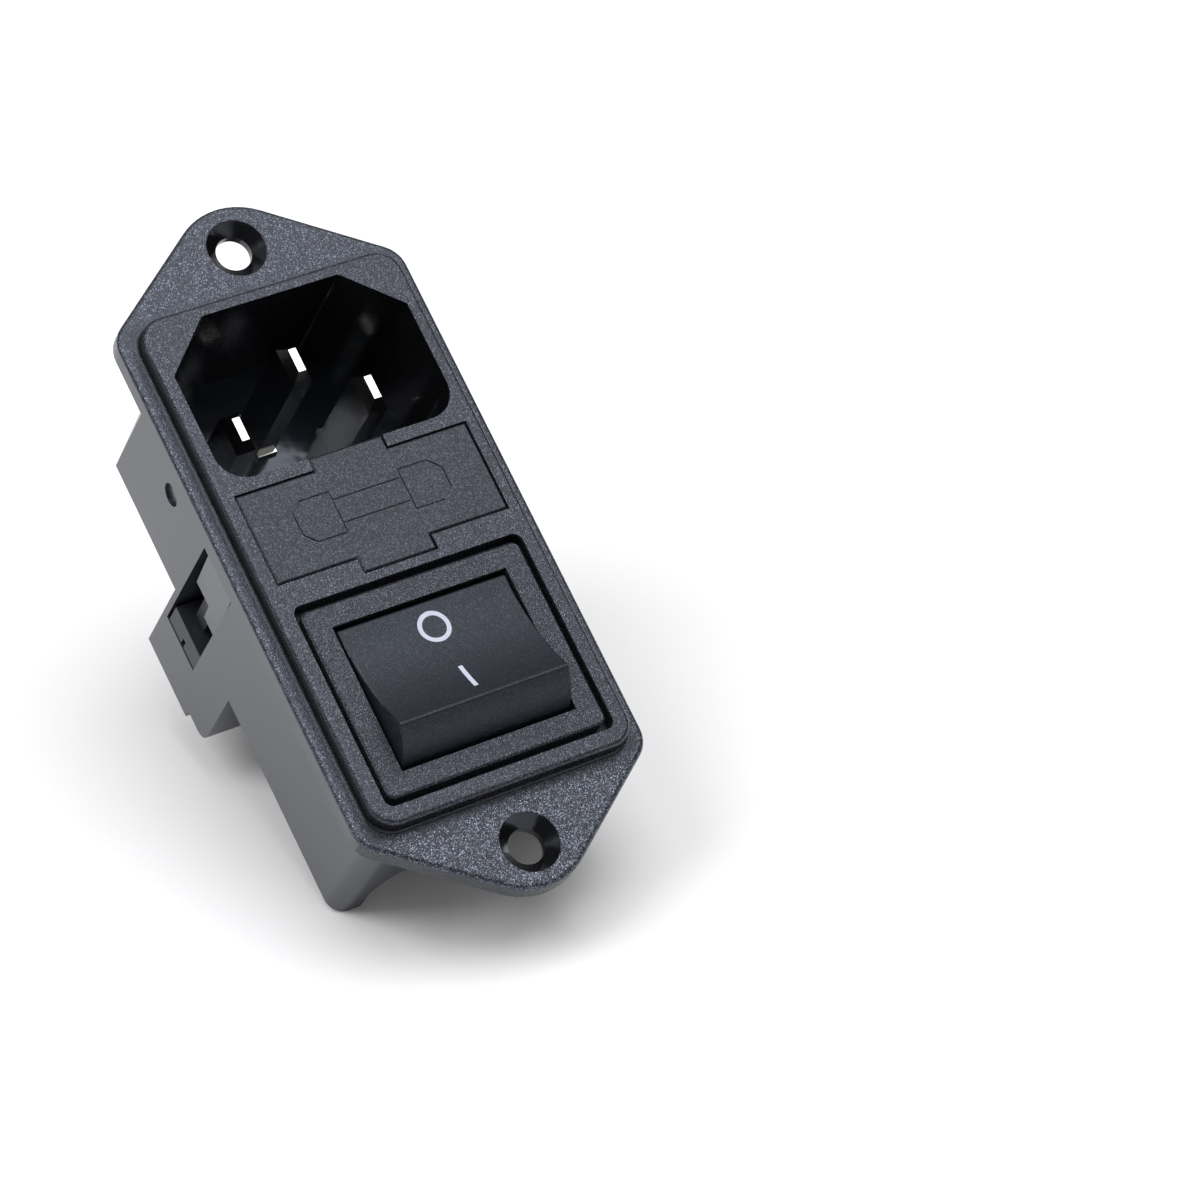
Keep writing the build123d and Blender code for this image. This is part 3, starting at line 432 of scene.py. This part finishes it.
# Switch frame: the bezel of the rocker switch, a moulding that snaps into the housing from the
# front. It is grained like the housing, with finer facets.
frame_black = (0.010, 0.0108, 0.0135, 1.0)
frame_glint = (0.13, 0.139, 0.174, 1.0)
frame_finish = black_plastic("switch_plastic", frame_black, frame_glint, 0.085 * mm, 0.30)
frame_finish.bump(frame_finish.grain, 0.07 * mm)
paint(frame_finish, "switch_frame")

# Rocker: a moulding that turns on two trunnions in the frame. Fingers press it, so its tool is
# smoother, and its faces are satin with a weak grain.
rocker_black = (0.0058, 0.0072, 0.0108, 1.0)
rocker_glint = (0.050, 0.055, 0.068, 1.0)
rocker_finish = black_plastic("rocker_plastic", rocker_black, rocker_glint, 0.085 * mm, 0.46)
rocker_finish.set(Specular_IOR_Level=0.4).bump(rocker_finish.grain, 0.02 * mm)
paint(rocker_finish, "rocker")

# Fuse drawer: a fine satin grain, and the outline of a fuse cut in its front as thin lines.
# The tool that moulds the drawer carries the lines, so they are all one depth.
drawer_black = (0.0075, 0.008, 0.010, 1.0)
drawer_glint = (0.10, 0.108, 0.138, 1.0)
drawer_finish = black_plastic("drawer_plastic", drawer_black, drawer_glint, 0.085 * mm, 0.38)
drawer_finish.bump(drawer_finish.grain, 0.05 * mm)
line_width, line_reach, line_lift = 0.15 * mm, 0.14 * mm, 0.3 * mm
weld_distance, smooth_angle = 0.0001 * mm, radians(30)


def cut_line(start, end):
    along = Vector(end) - Vector(start)
    middle = (Vector(start) + Vector(end)) / 2
    bpy.ops.mesh.primitive_cube_add(
        size=1.0,
        location=(middle.x * mm, middle.y * mm, front_z + (line_lift - line_reach) / 2),
        rotation=(0, 0, atan2(along.y, along.x)),
        scale=(along.length * mm + line_width, line_width, line_lift + line_reach))
    return bpy.context.object


# The two caps of the fuse that is drawn on the front, and the sides of its tube, in millimetres
left_cap = [(-3.55, 1.0), (-3.55, 5.3), (-6.6, 5.3), (-7.7, 4.2), (-7.7, 2.1), (-6.6, 1.0)]
right_cap = [(3.7, 1.05), (3.7, 5.25), (6.8, 5.25), (7.9, 4.15), (7.9, 2.15), (6.8, 1.05)]
tube_left, tube_right, tube_sides = -3.55, 3.7, (2.0, 4.43)
bpy.ops.object.select_all(action="DESELECT")
strokes = [cut_line(*ends) for cap in (left_cap, right_cap) for ends in zip(cap, cap[1:] + cap[:1])]
strokes += [cut_line((tube_left, side), (tube_right, side)) for side in tube_sides]
for stroke in strokes:
    stroke.select_set(True)
bpy.context.view_layer.objects.active = strokes[0]
bpy.ops.object.join()
cutter = bpy.context.object
bpy.ops.object.transform_apply(location=True, rotation=True, scale=True)
drawer = nodes["fuse_drawer"].copy()
drawer.data = nodes["fuse_drawer"].data.copy()
drawer.name = "drawer_with_sign"
bpy.context.collection.objects.link(drawer)
bpy.ops.object.select_all(action="DESELECT")
drawer.select_set(True)
bpy.context.view_layer.objects.active = drawer
bpy.ops.object.mode_set(mode="EDIT")
bpy.ops.mesh.select_all(action="SELECT")
bpy.ops.mesh.remove_doubles(threshold=weld_distance)
bpy.ops.mesh.customdata_custom_splitnormals_clear()
bpy.ops.object.mode_set(mode="OBJECT")
groove = drawer.modifiers.new("lines", "BOOLEAN")
groove.operation = "DIFFERENCE"
groove.object = cutter
groove.solver = "EXACT"
groove.use_self = True
bpy.ops.object.modifier_apply(modifier="lines")
bpy.data.objects.remove(cutter)
bpy.ops.object.shade_smooth_by_angle(angle=smooth_angle)
drawer.data.materials.clear()
drawer.data.materials.append(drawer_finish.material)
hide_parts("fuse_drawer")
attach(drawer, "drawer")

# Signs on the rocker: a ring and a bar, printed in white ink that follows the hollow of the
# rocker's face. The ink stands a little proud and is a touch uneven at this size.
print_white = (0.50, 0.54, 0.64, 1.0)
print_thin = (0.42, 0.46, 0.56, 1.0)
print_finish = Finish("print_ink")
ink = print_finish.noise(1500.0, 3.0, 0.6)
print_finish.set(
    Base_Color=print_finish.blend(ink, print_white, print_thin), Roughness=0.5 + ink * 0.1)
pivot = Vector((0.0, -14.6, 1.4)) * mm
rest_turn = radians(-17.5)
sign_height = 8.0 * mm
ring_y, ring_r, ink_width = 3.35 * mm, 1.6 * mm, 0.44 * mm
bar_y, bar_length = -2.92 * mm, 2.95 * mm
ink_gap, ink_thickness = 0.004 * mm, 0.016 * mm
ring_sides, bar_steps = 64, 14


def rocker_place(y):
    return pivot + Matrix.Rotation(rest_turn, 3, "X") @ Vector((0.0, y, sign_height))


def lay_on_rocker(sign, name):
    sign.name = name
    wrap = sign.modifiers.new("wrap", "SHRINKWRAP")
    wrap.target = nodes["rocker"]
    wrap.wrap_method = "PROJECT"
    wrap.use_project_z = True
    wrap.use_negative_direction = True
    wrap.use_positive_direction = False
    wrap.offset = ink_gap
    bpy.ops.object.modifier_apply(modifier="wrap")
    coat = sign.modifiers.new("coat", "SOLIDIFY")
    coat.thickness = ink_thickness
    coat.offset = 1.0
    bpy.ops.object.modifier_apply(modifier="coat")
    bpy.ops.object.transform_apply(location=True, rotation=True, scale=True)
    sign.data.materials.append(print_finish.material)
    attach(sign, "rocker")


bpy.ops.object.select_all(action="DESELECT")
bpy.ops.mesh.primitive_circle_add(
    vertices=ring_sides, radius=ring_r, fill_type="NGON",
    location=rocker_place(ring_y), rotation=(rest_turn, 0, 0))
bpy.ops.object.mode_set(mode="EDIT")
bpy.ops.mesh.select_all(action="SELECT")
bpy.ops.mesh.inset(thickness=ink_width)
bpy.ops.mesh.delete(type="FACE")
bpy.ops.object.mode_set(mode="OBJECT")
lay_on_rocker(bpy.context.object, "sign_off")

bpy.ops.object.select_all(action="DESELECT")
bpy.ops.mesh.primitive_grid_add(
    x_subdivisions=2, y_subdivisions=bar_steps, size=1.0,
    location=rocker_place(bar_y), rotation=(rest_turn, 0, 0))
bpy.context.object.scale = (ink_width, bar_length, 1.0)
lay_on_rocker(bpy.context.object, "sign_on")
